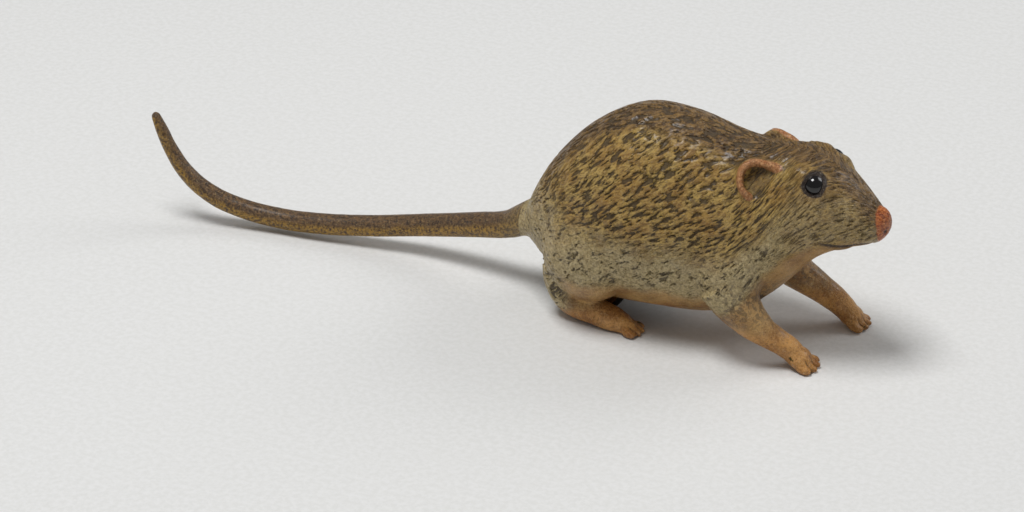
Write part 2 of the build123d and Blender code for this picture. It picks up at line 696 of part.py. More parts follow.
def ratchet_wheel():
    """A disc with saw teeth. One steep tooth face stands at the click's angle."""
    step = 360 / RATCHET_TEETH
    points = []
    for tooth in range(RATCHET_TEETH):
        points.append(polar((0, 0), RATCHET_ROOT, CLICK_TOOTH + tooth * step))
        points.append(polar((0, 0), RATCHET_TIP, CLICK_TOOTH + tooth * step))
    face = make_face(Polyline(*points, close=True)) - Circle(ARBOR_RADIUS)
    return slab(Pos(*ARBOR) * face, *RATCHET_LAYER)


def click():
    """The pawl. Drawn with the engaged tooth straight up, then turned to its place."""
    lift = RATCHET_ROOT + CLICK_LIFT
    line = (RATCHET_TIP + RATCHET_ROOT) / 2
    step = math.radians(360 / RATCHET_TEETH)
    crest = (RATCHET_TIP * math.sin(step), RATCHET_TIP * math.cos(step))
    arm = make_face(
        Polyline(
            (CLICK_GAP, lift),
            (crest[0], crest[1] + 2 * CLICK_GAP),
            (CLICK_REACH - CLICK_HUB / 2, line - CLICK_HUB / 2),
            (CLICK_REACH, line + CLICK_HUB - CLICK_GAP),
            (CLICK_GAP, RATCHET_TIP + CLICK_NOSE),
            close=True,
        )
    )
    face = arm + Pos(CLICK_REACH, line) * Circle(CLICK_HUB)
    face -= Pos(CLICK_REACH, line) * Circle(CLICK_PIN_RADIUS + RUNNING_CLEARANCE)
    return slab(Pos(*ARBOR) * Rot(0, 0, CLICK_TOOTH - 90) * face, *RATCHET_LAYER)


def click_rivet():
    """The click's pivot, riveted through the great wheel."""
    low, high = RATCHET_LAYER[0] - RUNNING_CLEARANCE, GREAT_WHEEL_LAYER[1]
    shank = disc(CLICK_PIVOT, CLICK_PIN_RADIUS, low, high)
    heads = [
        disc(CLICK_PIVOT, 2 * CLICK_PIN_RADIUS, low - RIVET_HEIGHT, low),
        disc(CLICK_PIVOT, 2 * CLICK_PIN_RADIUS, high, high + CLICK_HEAD),
    ]
    return shank + heads


def click_spring():
    """A thin leaf from a stud on the great wheel to the click's back."""
    length = math.dist(SPRING_STUD, SPRING_TOUCH)
    rise = SPRING_TOUCH[1] - SPRING_STUD[1]
    angle = math.degrees(math.atan2(rise, SPRING_TOUCH[0] - SPRING_STUD[0]))
    middle = [(a + b) / 2 for a, b in zip(SPRING_STUD, SPRING_TOUCH)]
    leaf = Pos(*middle) * Rot(0, 0, angle) * Rectangle(length, SPRING_LEAF)
    to_place = Pos(*ARBOR) * Rot(0, 0, CLICK_TOOTH - 90)
    low, high = RATCHET_LAYER[0] + SPRING_LEAF, RATCHET_LAYER[1] - SPRING_LEAF
    boss = slab(to_place * (Pos(*SPRING_STUD) * Circle(SPRING_STUD_RADIUS)), low, GREAT_WHEEL_LAYER[0])
    return boss + slab(to_place * leaf, low, high)


def key_bush():
    """The flanged bush in the left flank that the winding arbor comes out of."""
    flank = spigot_flank(ARBOR[0] / BODY_LENGTH, ARBOR[1])
    barrel = disc(ARBOR, BUSH_RADIUS, flank - 2 * SHELL_WALL, flank + BUSH_PROUD)
    flange = disc(ARBOR, BUSH_FLANGE_RADIUS, flank - SHELL_WALL, flank + BUSH_PROUD) - LEFT_FORM
    return barrel + flange - disc(ARBOR, ARBOR_RADIUS + RUNNING_CLEARANCE, 0, BODY_WIDTH)


def winding_key():
    """A two-lobed key on the arbor's square end."""
    barrel = disc(ARBOR, KEY_BARREL_RADIUS, KEY_START, KEY_START + KEY_BARREL_LENGTH)
    hole_side = KEY_SQUARE + 2 * KEY_SQUARE_CLEARANCE
    hole_end = KEY_START + KEY_HOLE_SHARE * KEY_BARREL_LENGTH
    hole = slab(Pos(*ARBOR) * Rectangle(hole_side, hole_side), KEY_START, hole_end)
    lobes = Sketch()
    middle = KEY_START + KEY_BARREL_LENGTH + KEY_LOBE_PROUD
    for way in (-1, 1):
        lobes += Pos(ARBOR[0] + way * KEY_LOBE_SPREAD, middle) * Circle(KEY_LOBE_RADIUS)
    for way in (-1, 1):
        lobes -= Pos(ARBOR[0] + way * KEY_LOBE_SPREAD, middle) * Circle(KEY_LOBE_HOLE)
    handle = Pos(0, 0, ARBOR[1] - KEY_THICKNESS / 2) * extrude(lobes, amount=KEY_THICKNESS)
    return barrel + handle - hole


KEY_START = spigot_flank(ARBOR[0] / BODY_LENGTH, ARBOR[1]) + BUSH_PROUD + KEY_STANDOFF
LEFT_CAVITY = half_cavity()
CAVITIES = {1: LEFT_CAVITY, -1: mirror(LEFT_CAVITY, about=Plane.XZ)}


def nodes():
    """Every piece by its node's name."""
    made = {
        "body_shell_left": shell(1),
        "body_shell_right": shell(-1),
        "belly_plate": belly_plate(),
        "tail": tail(),
        "hind_leg_left": leg(HIND_ROWS, THIGH_PLACE, THIGH_RADII, 1, HIND_FOOT_LIFT, HIND_INSIDE),
        "hind_leg_right": leg(HIND_ROWS, THIGH_PLACE, THIGH_RADII, -1, HIND_FOOT_LIFT, HIND_INSIDE),
        "foreleg_left": leg(FORE_LEFT_ROWS, SHOULDER_PLACE, SHOULDER_RADII, 1, 0, 0),
        "foreleg_right": leg(FORE_RIGHT_ROWS, SHOULDER_PLACE, SHOULDER_RADII, -1, 0, 0),
        "ear_left": ear(1),
        "ear_right": ear(-1),
        "eye_left": eye_ball(1, EYE_RADIUS),
        "eye_right": eye_ball(-1, EYE_RADIUS),
        "frame_plate_left": frame_plate(1),
        "frame_plate_right": frame_plate(-1),
        "frame_pillars": frame_pillars(),
        "frame_strap": frame_strap(),
        "winding_arbor": winding_arbor(),
        "great_wheel": great_wheel(),
        "ratchet_wheel": ratchet_wheel(),
        "click": click(),
        "click_rivet": click_rivet(),
        "click_spring": click_spring(),
        "mainspring": mainspring(),
        "second_arbor": second_arbor(),
        "second_wheel": second_gear(WHEEL_TEETH, TRAIN_ANGLE + 180, SECOND_WHEEL_LAYER),
        "second_pinion": second_gear(PINION_TEETH, MESH_TURN, SECOND_PINION_LAYER),
        "drive_axle": drive_axle(),
        "drive_pinion": gear(AXLE, PINION_TEETH, MESH_TURN, AXLE_RADIUS, DRIVE_PINION_LAYER),
        "drive_wheel_left": drive_wheel(1),
        "drive_wheel_right": drive_wheel(-1),
        "tyre_left": tyre(1),
        "tyre_right": tyre(-1),
        "key_bush": key_bush(),
        "winding_key": winding_key(),
        "belly_screws": plate_screws(belly_screw_places(), belly_screw_rise()),
        "strap_screws": plate_screws(strap_screw_places(), BELLY_TOP + 2 * PLATE_THICKNESS),
    }
    return made


def main():
    os.makedirs("parts", exist_ok=True)
    made = nodes()
    whole = Compound(children=[Compound(piece.solids()) for piece in made.values()]).bounding_box()
    to_frame = Pos(-(whole.min.X + whole.max.X) / 2, -(whole.min.Y + whole.max.Y) / 2, -whole.min.Z)
    for name, piece in made.items():
        solids = [to_frame * solid for solid in piece.solids()]
        export_step(Compound(solids) if len(solids) > 1 else solids[0], f"parts/{name}.step")


main()
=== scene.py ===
import json
import math

import bpy
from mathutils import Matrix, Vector

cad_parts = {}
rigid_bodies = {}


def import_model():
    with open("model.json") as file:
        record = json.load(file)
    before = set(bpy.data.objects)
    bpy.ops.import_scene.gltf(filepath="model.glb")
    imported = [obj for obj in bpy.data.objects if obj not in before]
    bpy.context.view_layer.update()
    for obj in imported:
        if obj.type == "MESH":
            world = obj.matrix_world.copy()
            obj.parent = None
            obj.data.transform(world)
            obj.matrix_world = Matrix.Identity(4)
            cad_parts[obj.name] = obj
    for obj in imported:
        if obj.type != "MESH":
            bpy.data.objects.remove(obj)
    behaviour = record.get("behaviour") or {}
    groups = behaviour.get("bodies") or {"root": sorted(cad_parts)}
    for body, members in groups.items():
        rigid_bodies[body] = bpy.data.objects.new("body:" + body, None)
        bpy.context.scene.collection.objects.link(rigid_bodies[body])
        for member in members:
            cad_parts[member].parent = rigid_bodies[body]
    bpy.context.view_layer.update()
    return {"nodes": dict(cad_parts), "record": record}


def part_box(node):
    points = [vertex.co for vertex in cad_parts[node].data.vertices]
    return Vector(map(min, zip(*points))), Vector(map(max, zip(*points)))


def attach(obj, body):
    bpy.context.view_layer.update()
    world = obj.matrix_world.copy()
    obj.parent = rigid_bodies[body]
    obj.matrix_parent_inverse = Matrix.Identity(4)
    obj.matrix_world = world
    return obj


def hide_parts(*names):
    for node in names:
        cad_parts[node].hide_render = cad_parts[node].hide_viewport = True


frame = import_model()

# The clockwork mouse. Body, legs, ears and tail are modelled as one skin, which is then cut apart into castings.
# The clockwork keeps its own shapes and is given its metals. Lengths are in mm, except where a comment says so.
MM = 0.001
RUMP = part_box("body_shell_left")[0].x
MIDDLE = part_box("body_shell_left")[0].y
WALL = 1.2  # thickness of the shell's castings
SKIN_GRAIN = 0.33  # edge length of the skin's faces
SOFTENING = 7  # rounds of smoothing that the skin gets
CREASE_ANGLE = 70  # edges sharper than this stay sharp, in degrees


def spot(x, y, z):
    """A point of the mouse: x from the rump, y from the plane of symmetry, z from the floor, in mm."""
    return Vector((RUMP + x * MM, MIDDLE + y * MM, z * MM))


def measured(point):
    """The other way round: a point of the frame as x, y and z of the mouse in mm."""
    return (point.x - RUMP) / MM, (point.y - MIDDLE) / MM, point.z / MM


# ---- Bench tools ---------------------------------------------------------------------------------
def clear_selection():
    if bpy.context.object and bpy.context.object.mode != "OBJECT":
        bpy.ops.object.mode_set(mode="OBJECT")
    bpy.ops.object.select_all(action="DESELECT")


def take(piece):
    """Makes one piece the only selected and active one."""
    clear_selection()
    piece.select_set(True)
    bpy.context.view_layer.objects.active = piece


def added(name):
    """Names the primitive just added and puts its place into its mesh."""
    piece = bpy.context.object
    piece.name = name
    piece.data.name = name
    bpy.ops.object.transform_apply(location=True, rotation=True, scale=True)
    return piece


def pick_faces(piece, wanted):
    """In edit mode, selects the faces whose centres satisfy a test, given in mm of the mouse."""
    bpy.ops.object.mode_set(mode="EDIT")
    bpy.ops.mesh.select_mode(type="FACE")
    bpy.ops.mesh.select_all(action="DESELECT")
    bpy.ops.object.mode_set(mode="OBJECT")
    count = 0
    for face in piece.data.polygons:
        if wanted(*measured(face.center)):
            face.select = True
            count += 1
    bpy.ops.object.mode_set(mode="EDIT")
    return count


def apply_all(piece):
    """Makes every modifier of a piece part of its mesh."""
    take(piece)
    for modifier in list(piece.modifiers):
        bpy.ops.object.modifier_apply(modifier=modifier.name)


def joined(name, pieces):
    """Several pieces as one, under a new name."""
    clear_selection()
    for piece in pieces:
        piece.select_set(True)
    bpy.context.view_layer.objects.active = pieces[0]
    bpy.ops.object.join()
    pieces[0].name = name
    pieces[0].data.name = name
    return pieces[0]


def smooth_rows(rows, count):
    """Rows of numbers run through a smooth curve and sampled evenly in between."""
    def at(t):
        k = min(int(t), len(rows) - 2)
        f = t - k
        before, after = rows[max(k - 1, 0)], rows[min(k + 2, len(rows) - 1)]
        out = []
        for a, b, c, d in zip(before, rows[k], rows[k + 1], after):
            slope = (c - a) * f
            bend = (2 * a - 5 * b + 4 * c - d) * f * f
            twist = (3 * b - a - 3 * c + d) * f ** 3
            out.append(0.5 * (2 * b + slope + bend + twist))
        return out
    return [at(i * (len(rows) - 1) / (count - 1)) for i in range(count)]


# ---- Forms of the mouse --------------------------------------------------------------------------
BODY_RINGS, RING_SIDES = 60, 72
# Rows of x, top, bottom and half-width along the body.
BODY_ROWS = [
    (1.8, 18.6, 11.6, 3.4),
    (3.6, 23.8, 10.7, 5.5),
    (8.2, 31.8, 7.6, 9.8),
    (15.6, 39.8, 4.5, 13.5),
    (25.0, 45.1, 3.6, 15.5),
    (35.0, 45.4, 3.9, 14.5),
    (44.0, 43.4, 5.5, 13.1),
    (51.0, 42.6, 9.0, 12.0),
    (57.0, 43.2, 15.0, 11.2),
    (62.0, 42.5, 21.0, 9.8),
    (67.0, 39.4, 24.2, 7.6),
    (71.0, 35.9, 25.6, 5.4),
    (74.0, 32.9, 26.8, 3.4),
    (75.3, 31.2, 28.2, 1.7),
]


def body_form():
    """The body without limbs, drawn ring by ring from the rump to the nose."""
    rings = smooth_rows(BODY_ROWS, BODY_RINGS)
    x, top, bottom, half = rings[0]
    centre = spot(x, 0, (top + bottom) / 2)
    clear_selection()
    bpy.ops.mesh.primitive_circle_add(
        vertices=RING_SIDES, radius=1, fill_type="NGON", location=centre, rotation=(0, math.pi / 2, 0)
    )
    body = added("body_form")
    bpy.ops.object.mode_set(mode="EDIT")
    bpy.ops.mesh.select_all(action="SELECT")
    wide, tall = half * MM, (top - bottom) / 2 * MM
    bpy.ops.transform.resize(value=(1, wide, tall), center_override=centre)
    for x, top, bottom, half in rings[1:]:
        following = spot(x, 0, (top + bottom) / 2)
        bpy.ops.mesh.extrude_region_move(TRANSFORM_OT_translate={"value": following - centre})
        new_wide, new_tall = half * MM, (top - bottom) / 2 * MM
        bpy.ops.transform.resize(value=(1, new_wide / wide, new_tall / tall), center_override=following)
        centre, wide, tall = following, new_wide, new_tall
    bpy.ops.mesh.select_all(action="SELECT")
    bpy.ops.mesh.normals_make_consistent(inside=False)
    bpy.ops.object.mode_set(mode="OBJECT")
    return body


def flesh(x, y, z, radii, lean=0.0, turn=0.0):
    """A muscle or pad: a ball pulled to three radii in mm, leaned about y and turned about z, in degrees."""
    clear_selection()
    bpy.ops.mesh.primitive_uv_sphere_add(
        segments=32,
        ring_count=20,
        radius=MM,
        location=spot(x, y, z),
        rotation=(0, math.radians(lean), math.radians(turn)),
        scale=radii,
    )
    return added("flesh")


def limb(rows):
    """A tapering limb through rows of x, y, z and radius in mm, as a mesh."""
    curve = bpy.data.curves.new("limb", "CURVE")
    curve.dimensions = "3D"
    curve.bevel_depth = MM
    curve.bevel_resolution = 6
    curve.resolution_u = 10
    curve.use_fill_caps = True
    line = curve.splines.new("BEZIER")
    line.bezier_points.add(len(rows) - 1)
    line.radius_interpolation = "CARDINAL"
    for point, (x, y, z, radius) in zip(line.bezier_points, rows):
        point.co = spot(x, y, z)
        point.radius = radius
        point.handle_left_type = "AUTO"
        point.handle_right_type = "AUTO"
    made = bpy.data.objects.new("limb", curve)
    bpy.context.scene.collection.objects.link(made)
    take(made)
    bpy.ops.object.convert(target="MESH")
    return bpy.context.object


# The paws: x and y where the toes begin, the gap from toe to toe, and the x where their grooves begin.
HIND_PAW = (28.0, 9.4, 1.3, 26.9)
NEAR_PAW = (63.7, -7.8, 1.6, 62.9)
FAR_PAW = (67.7, 11.0, 1.5, 66.9)
# Each toe's place across the paw, in gaps, and its share of the length.
TOES = ((-1.5, 0.82), (-0.5, 1.0), (0.5, 1.0), (1.5, 0.82))
TOE_FAN = 7  # in degrees from toe to toe


def toes(paw, reach, thick, side=1, heading=0):
    """Four toes of a paw, fanned about a heading in degrees."""
    made = []
    x, y, gap = paw[:3]
    ahead = Vector((math.cos(math.radians(heading)), math.sin(math.radians(heading))))
    across = Vector((-ahead.y, ahead.x))
    for place, length in TOES:
        at = Vector((x, side * y)) + across * place * gap + ahead * (length - 1) * reach
        radii = (reach * length, thick, thick)
        made.append(flesh(at.x, at.y, thick * 0.95, radii, lean=6, turn=heading + place * TOE_FAN))
    return made


def hind_leg(side):
    """The thigh's muscle, the lower leg and the long foot; side is 1 on the left and -1 on the right."""
    return [
        flesh(18.6, side * 8.9, 17.4, (10.0, 6.6, 12.4), lean=14),
        limb([
            (12.2, side * 7.6, 11.5, 4.4),
            (12.6, side * 7.5, 7.2, 4.1),
            (14.0, side * 7.9, 4.4, 3.5),
            (19.0, side * 8.7, 2.9, 2.9),
            (24.0, side * 9.2, 2.0, 2.5),
            (26.4, side * 9.3, 1.5, 1.9),
            (28.2, side * 9.3, 1.2, 1.2),
        ]),
    ] + toes(HIND_PAW, reach=2.1, thick=0.85, side=side, heading=side * 4)


def near_foreleg():
    """The right foreleg, planted nearer to the body."""
    return [
        flesh(46.7, -9.2, 19.5, (7.3, 4.7, 9.6), lean=-8),
        limb([
            (46.5, -9.3, 16.0, 5.6),
            (50.0, -9.8, 11.4, 4.4),
            (54.0, -9.7, 7.7, 3.1),
            (57.2, -8.9, 5.5, 2.5),
            (59.6, -8.3, 3.9, 2.35),
            (61.2, -8.0, 2.5, 2.1),
            (63.0, -7.9, 1.7, 1.5),
        ]),
        flesh(61.6, -7.9, 2.1, (2.7, 2.9, 1.9), lean=20),
    ] + toes(NEAR_PAW, reach=2.2, thick=0.88)


def far_foreleg():
    """The left foreleg, reaching further ahead."""
    return [
        flesh(47.0, 9.2, 19.5, (7.3, 4.7, 9.6), lean=-8),
        limb([
            (49.5, 7.8, 15.5, 5.2),
            (54.0, 8.7, 11.3, 3.8),
            (58.6, 9.9, 7.9, 3.0),
            (62.4, 10.6, 5.2, 2.6),
            (65.0, 10.9, 3.0, 2.2),
            (67.0, 11.0, 1.7, 1.5),
        ]),
        flesh(65.6, 11.0, 2.2, (2.7, 2.8, 1.9), lean=20),
    ] + toes(FAR_PAW, reach=2.1, thick=0.88)


# The left ear on the side of the head: its middle, then the ways out of the skin, forward and up along it.
EAR_MIDDLE = Vector((51.4, 8.5, 39.3))
EAR_OUT = Vector((0.12, 0.80, 0.58)).normalized()
EAR_AHEAD = Vector((0.97, 0.0, -0.24)).normalized()
EAR_UP = Vector((0.2, -0.57, 0.79)).normalized()
# The rim from the brow, over the top and down the back to the lobe: ahead, up, out and radius.
EAR_RIM = [
    (4.0, 3.3, -1.6, 0.5),
    (2.2, 3.5, -0.9, 0.66),
    (0.1, 3.2, -0.5, 0.7),
    (-1.9, 2.3, -0.1, 0.64),
    (-2.8, 0.6, 0.2, 0.58),
    (-2.4, -1.4, 0.2, 0.54),
    (-1.3, -2.9, 0.0, 0.54),
    (0.2, -3.6, -0.5, 0.54),
]
# The rim is laid three times, each deeper in the head and thicker than the one before: sink and swell.
EAR_LAYERS = ((0.0, 0.0), (0.9, 0.25), (1.9, 0.5))


def ear_spot(ahead, up, out):
    """A point of the left ear as x, y and z in mm."""
    return EAR_MIDDLE + EAR_AHEAD * ahead + EAR_UP * up + EAR_OUT * out


def ear(side):
    """The ear's raised rim and the thick back that carries it down to the head."""
    pieces = []
    for sink, swell in EAR_LAYERS:
        rows = []
        for ahead, up, out, radius in EAR_RIM:
            point = ear_spot(ahead - sink * 0.25, up + sink * 0.1, out - sink)
            rows.append((point.x, side * point.y, point.z, radius + swell))
        pieces.append(limb(rows))
    return pieces


# The tail's line from inside the rump to its raised tip: x, y, z and radius.
TAIL_ROWS = [
    (6.0, 0.0, 16.2, 5.0),
    (3.0, 0.0, 15.4, 4.2),
    (0.5, 0.1, 14.4, 3.4),
    (-3.0, 0.5, 12.4, 2.85),
    (-11.0, 1.6, 9.8, 2.6),
    (-23.5, 2.2, 6.5, 2.35),
    (-34.5, 1.1, 4.4, 2.25),
    (-45.8, -0.5, 3.2, 2.2),
    (-54.5, -1.4, 3.0, 2.15),
    (-63.2, -2.8, 4.5, 2.05),
    (-68.3, -3.7, 6.6, 1.95),
    (-73.2, -4.3, 10.4, 1.75),
    (-76.6, -4.7, 15.6, 1.5),
    (-78.6, -4.9, 20.3, 1.3),
    (-79.6, -5.0, 22.8, 1.0),
]


def whole_mouse():
    """Body, limbs, ears and tail modelled into one skin of even faces."""
    parts = [body_form(), flesh(73.0, 0, 30.3, (3.0, 2.7, 3.7), lean=14)]
    for side in (-1, 1):
        parts += hind_leg(side) + ear(side)
        parts.append(flesh(61.2, side * 4.3, 38.75, (6.0, 3.4, 3.1), lean=20))  # brow
        parts.append(flesh(66.0, side * 5.0, 29.3, (5.5, 2.6, 3.6), lean=12, turn=-side * 22))  # cheek
    parts += near_foreleg() + far_foreleg()
    parts.append(limb(TAIL_ROWS))
    parts.append(flesh(-79.62, -5.0, 22.85, (0.98, 0.98, 0.98)))  # round end of the tail
    mouse = joined("mouse_skin", parts)
    remesh = mouse.modifiers.new("even faces", "REMESH")
    remesh.mode = "VOXEL"
    remesh.voxel_size = SKIN_GRAIN * MM
    softened = mouse.modifiers.new("soften", "SMOOTH")
    softened.factor = 0.5
    softened.iterations = SOFTENING
    apply_all(mouse)
    flatten_soles(mouse)
    return mouse


HIND_STRETCH, FORE_STRETCH = (5, 34), (40, 80)  # the x between which each pair of feet stands


def flatten_soles(mouse):
    """What would reach under the floor is pressed flat on it; the hind feet stand a little clear."""
    hind_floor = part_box("hind_leg_left")[0].z / MM
    for (low, high), floor in ((HIND_STRETCH, hind_floor), (FORE_STRETCH, 0.0)):
        take(mouse)
        bpy.ops.object.mode_set(mode="EDIT")
        bpy.ops.mesh.select_mode(type="VERT")
        bpy.ops.mesh.select_all(action="DESELECT")
        bpy.ops.object.mode_set(mode="OBJECT")
        for vertex in mouse.data.vertices:
            vertex.select = low < measured(vertex.co)[0] < high and vertex.co.z < floor * MM
        bpy.ops.object.mode_set(mode="EDIT")
        bpy.ops.transform.resize(value=(1, 1, 0), center_override=(0, 0, floor * MM))
        bpy.ops.object.mode_set(mode="OBJECT")


# ---- Node shorthand ------------------------------------------------------------------------------
def linear(red, green, blue):
    """A colour given as a maker reads it off a chart, 0 to 255, as light."""
    return tuple(((c / 255 + 0.055) / 1.055) ** 2.4 if c > 10 else c / 255 / 12.92 for c in (red, green, blue))


class Mark:
    """A socket that does sums: an expression on marks adds its Math nodes."""

    def __init__(self, bench, socket):
        self.bench, self.socket = bench, socket

    def sum(self, operation, *values):
        return self.bench.node("ShaderNodeMath", {"operation": operation}, list(values))

    def __add__(self, other):
        return self.sum("ADD", self, other)

    def __radd__(self, other):
        return self.sum("ADD", other, self)

    def __sub__(self, other):
        return self.sum("SUBTRACT", self, other)

    def __rsub__(self, other):
        return self.sum("SUBTRACT", other, self)

    def __mul__(self, other):
        return self.sum("MULTIPLY", self, other)

    def __rmul__(self, other):
        return self.sum("MULTIPLY", other, self)

    def __truediv__(self, other):
        return self.sum("DIVIDE", self, other)

    def lesser(self, other):
        return self.sum("MINIMUM", self, other)

    def greater(self, other):
        return self.sum("MAXIMUM", self, other)

    def size(self):
        return self.sum("ABSOLUTE", self)

    def angle(self, along):
        """The angle, in radians, of a slope that rises by this over a length."""
        return self.sum("ARCTAN2", self, along)

    def whole_left(self):
        """0 halfway between whole numbers, rising to 0.5 on them."""
        return (self.sum("FRACT", self) - 0.5).size()

    def ease(self, low, high):
        """0 below low and 1 above high, with a smooth step between; low may be the higher."""
        flip = low > high
        a, b = (high, low) if flip else (low, high)
        step = self.bench.node(
            "ShaderNodeMapRange",
            {"interpolation_type": "SMOOTHSTEP", "clamp": True},
            {"Value": self, "From Min": a, "From Max": b},
        )
        return 1 - step if flip else step


class Bench:
    """Adds nodes to one tree, a material's or a form's."""

    def __init__(self, tree):
        self.tree = tree

    def node(self, kind, settings=None, inputs=None, output=0):
        """Adds a node: its settings first, then the values or links of its sockets."""
        made = self.tree.nodes.new(kind)
        for key, value in (settings or {}).items():
            setattr(made, key, value)
        pairs = inputs.items() if isinstance(inputs, dict) else enumerate(inputs or [])
        for key, value in pairs:
            self.give(made.inputs[key], value)
        return Mark(self, made.outputs[output])

    def give(self, socket, value):
        """Links a mark to a socket, or sets the socket to a plain value."""
        if isinstance(value, Mark):
            self.tree.links.new(value.socket, socket)
        else:
            socket.default_value = value

    def parts(self, vector):
        split = self.node("ShaderNodeSeparateXYZ", None, [vector]).socket.node
        return [Mark(self, socket) for socket in split.outputs]

    def vector(self, x, y, z):
        return self.node("ShaderNodeCombineXYZ", None, [x, y, z])

    def vector_sum(self, operation, *values):
        output = "Value" if operation in ("LENGTH", "DISTANCE", "DOT_PRODUCT") else "Vector"
        return self.node("ShaderNodeVectorMath", {"operation": operation}, list(values), output)

    def noise(self, where, scale, detail=2.0, roughness=0.5):
        return self.node(
            "ShaderNodeTexNoise",
            {"noise_dimensions": "3D"},
            {"Vector": where, "Scale": scale, "Detail": detail, "Roughness": roughness},
        )

    def mix(self, factor, under, over):
        """One colour over another; each is a mark, or red, green and blue off a chart."""
        colours = [c if isinstance(c, Mark) else (*linear(*c), 1) for c in (under, over)]
        # Sockets 6 and 7 and output 2 are the colour ones.
        return self.node("ShaderNodeMix", {"data_type": "RGBA"}, {0: factor, 6: colours[0], 7: colours[1]}, 2)


# ---- The fur, the same in the form and in the paint ----------------------------------------------
class Fur:
    """Where everything lies on the mouse, and the cut strokes of its coat, from a position in the frame."""

    def __init__(self, bench, position):
        self.bench = bench
        shifted = bench.vector_sum("SUBTRACT", position, (RUMP, MIDDLE, 0.0))
        self.where = bench.vector_sum("MULTIPLY", shifted, (1 / MM, 1 / MM, 1 / MM))
        self.x, self.y, self.z = bench.parts(self.where)
        self.side = self.y.size()
        self.folded = bench.vector(self.x, self.side, self.z)  # the right side laid on the left
        # Distance round the body from its widest line, which is 21 up on the trunk and 31 on the head. The
        # body is taken as round there, with radii of 17 and 8.
        above = self.z - 21 - self.x.ease(45, 66) * 10
        self.round = above.angle(self.side) * (17 - self.x.ease(48, 70) * 9)
        self.wander = bench.noise(self.where, 0.16, 2.0)
        self.regions()

    def strokes(self, slope, along, across, seed, detail=2.5, roughness=0.55):
        """Noise drawn out along a slope in degrees: strokes of one length and width in mm."""
        bench = self.bench
        turn = math.radians(slope)
        lengthwise = self.x * math.cos(turn) + self.round * math.sin(turn)
        crosswise = self.round * math.cos(turn) - self.x * math.sin(turn)
        place = bench.vector(lengthwise / along, crosswise / across, self.y * 0.22 + seed)
        return bench.noise(place, 1.0, detail, roughness)

    def regions(self):
        """Each region is 1 inside and 0 outside, with a wandering edge."""
        x, z, side = self.x, self.z, self.side
        loose = (self.wander - 0.5) * 9
        self.rump = (x + loose * 0.6).ease(17, 8) * (z + loose).ease(10, 15)
        reach = (x.ease(46, 58) * -2.4 + 6.6) + loose * 0.3
        self.spine = (side - reach).ease(1.4, -1.6) * z.ease(25, 33) * x.ease(3, 9)
        self.head = x.ease(54, 60)
        belly_line = 11.5 + x.ease(46, 64) * 15.5
        height = z - belly_line
        self.belly = (height + loose * 0.5).ease(1.8, -1.6) * x.ease(12, 17)
        self.flank = (height + loose * 0.5).ease(-1, 2.5) * (height + loose * 0.8).ease(15, 7)
        self.forefoot = (z + loose * 0.25).ease(9.4, 6.6) * x.ease(42, 46)
        sloping = z + (20 - x) * 0.28
        self.hindfoot = (sloping + loose * 0.2).ease(5.6, 3.6) * x.ease(10, 13) * x.ease(38, 34)
        self.foot = self.forefoot.greater(self.hindfoot)
        self.tail = x.ease(2.6, -1.5)
        self.bare = self.foot.greater(self.belly)

    def hollows(self):
        """How deep each place lies in a cut stroke, 0 to 1."""
        sparse = (self.bench.noise(self.where, 0.33, 2.0) - 0.5) * 0.12
        haunch = (self.strokes(36, 2.1, 0.66, 3.0) + sparse).ease(0.485, 0.415)
        steep = (self.strokes(62, 2.1, 0.66, 17.0) + sparse).ease(0.485, 0.415)
        back = self.strokes(6, 2.4, 0.6, 31.0).ease(0.50, 0.42)
        fine = self.strokes(24, 1.5, 0.5, 47.0).ease(0.47, 0.38)
        flecks = (self.strokes(42, 1.9, 1.0, 61.0, 5.0, 0.7) + sparse * 3.0).ease(0.425, 0.38)
        cut = haunch * (1 - self.rump) + steep * self.rump
        cut = cut * (1 - self.flank) + flecks * self.flank
        cut = cut * (1 - self.spine) + back * self.spine * 0.85
        cut = cut * (1 - self.head) + fine * self.head * 0.75
        return cut * (1 - self.bare) * (1 - self.tail)

    def swell(self):
        """Slow hammer-like unevenness between the strokes, about 0."""
        return self.bench.noise(self.where, 0.75) - 0.5

    def near(self, centre, radii):
        """Distance from a point in mm, in units of three radii."""
        away = self.bench.vector_sum("SUBTRACT", self.where, centre)
        return self.bench.vector_sum("LENGTH", self.bench.vector_sum("DIVIDE", away, radii))

    def line_distance(self, points):
        """Distance in mm from a line through points on the left, the same on the right."""
        bench, nearest = self.bench, None
        for start, end in zip(points, points[1:]):
            along = end - start
            away = bench.vector_sum("SUBTRACT", self.folded, start)
            share = bench.vector_sum("DOT_PRODUCT", away, along) / along.length_squared
            share = share.lesser(1.0).greater(0.0)
            rest = bench.vector_sum("SUBTRACT", away, bench.vector(*(share * part for part in along)))
            distance = bench.vector_sum("LENGTH", rest)
            nearest = nearest.lesser(distance) if nearest else distance
        return nearest

    def ear_rim(self):
        """Distance in mm from the middle of the ear's rim."""
        return self.line_distance([ear_spot(*row[:3]) for row in EAR_RIM])

    def ear_hollow(self):
        """1 in the cup of the ear, fading at its edge."""
        return self.line_distance([ear_spot(0.9, 2.3, -0.4), ear_spot(0.4, -1.6, -0.4)]).ease(2.7, 1.5)

    def eye_distance(self):
        """Distance in mm from the middle of the eye's ball."""
        low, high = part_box("eye_left")
        return self.bench.vector_sum("DISTANCE", self.folded, measured((low + high) / 2))

    def mouth(self):
        """1 in the line of the mouth."""
        line = 27.4 - (self.x - 66) * 0.09
        return (self.z - line).size().ease(0.55, 0.1) * self.x.ease(63.2, 65.5) * self.x.ease(73.6, 72.4)

